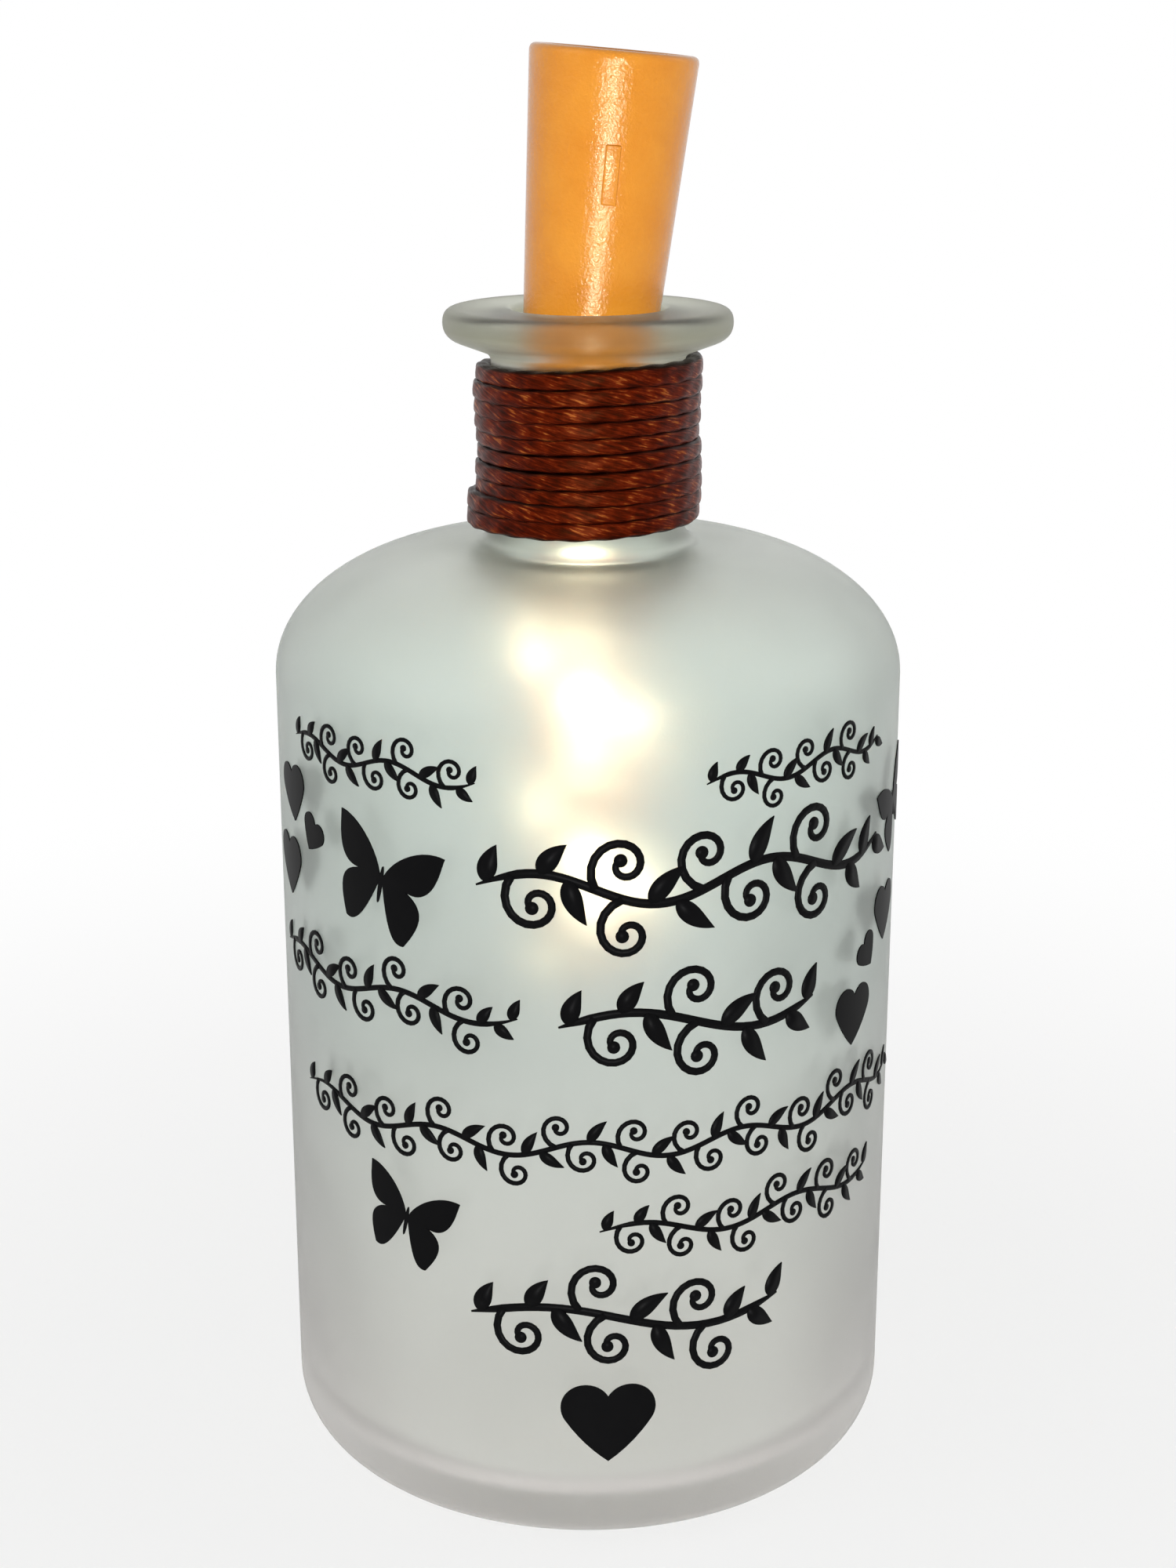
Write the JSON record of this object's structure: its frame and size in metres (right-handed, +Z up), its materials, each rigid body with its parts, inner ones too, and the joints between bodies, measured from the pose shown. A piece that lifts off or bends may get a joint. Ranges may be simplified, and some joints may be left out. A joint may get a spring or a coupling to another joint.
{
  "type": "cork bottle light",
  "caption": "Frosted apothecary bottle with a cord-wound neck and vinyl motifs, lit by a light string that hangs from a cork-shaped battery stopper.",
  "frame": {"origin": "middle of the bottle's base, on the surface that it stands on", "axes": "+Z up the bottle, the front with the motifs faces -Y, the cork leans towards +X"},
  "size_m": [0.082, 0.0822, 0.1872],
  "materials": {
    "frosted_glass": "etched matt",
    "waxed_cord": "waxed twist",
    "black_vinyl": "satin film",
    "cork_plastic": "fine moulded grain",
    "hot_melt": "cloudy glue",
    "enamelled_copper": "enamelled wire",
    "nickel_plate": "nickel plate",
    "switch_plastic": "moulded",
    "resistor_lacquer": "lacquer",
    "cell_steel": "plated can",
    "led_resin": "clear resin",
    "led_phosphor": "phosphor"
  },
  "bodies": {
    "bottle": {"glass_bottle": "frosted_glass", "neck_cord": "waxed_cord", "vinyl_hearts": "black_vinyl", "vinyl_butterflies": "black_vinyl"},
    "cork": {"cork_shell": "cork_plastic", "wire_seal": "hot_melt", "light_string": "enamelled_copper", "slack_lead": "enamelled_copper", "led_bead_01": "led_resin", "led_bead_02": "led_resin", "led_bead_03": "led_resin", "led_bead_04": "led_resin", "led_bead_05": "led_resin", "led_bead_06": "led_resin", "led_bead_07": "led_resin", "led_bead_08": "led_resin", "led_bead_09": "led_resin", "led_bead_10": "led_resin", "led_chip_01": "led_phosphor", "led_chip_02": "led_phosphor", "led_chip_03": "led_phosphor", "led_chip_04": "led_phosphor", "led_chip_05": "led_phosphor", "led_chip_06": "led_phosphor", "led_chip_07": "led_phosphor", "led_chip_08": "led_phosphor", "led_chip_09": "led_phosphor", "led_chip_10": "led_phosphor"},
    "carrier": {"battery_carrier": "cork_plastic", "button_cell_1": "cell_steel", "button_cell_2": "cell_steel", "button_cell_3": "cell_steel", "contact_spring": "nickel_plate", "contact_plate": "nickel_plate", "switch_frame": "nickel_plate", "switch_base": "switch_plastic", "switch_pins": "nickel_plate", "resistor": "resistor_lacquer", "switch_lead": "enamelled_copper"},
    "switch": {"switch_slider": "switch_plastic"}
  },
  "joints": [
    {"name": "cork_lift", "type": "slide", "parent": "bottle", "child": "cork", "axis": [0, 0, 1], "range_m": [0, 0.1]},
    {"name": "carrier_pull", "type": "slide", "parent": "cork", "child": "carrier", "axis": [0.0889, 0, 0.996], "range_m": [0, 0.038], "deforming": ["slack_lead"]},
    {"name": "switch_slide", "type": "slide", "parent": "carrier", "child": "switch", "axis": [0.996, 0, -0.0889], "range_m": [0, 0.002]}
  ]
}
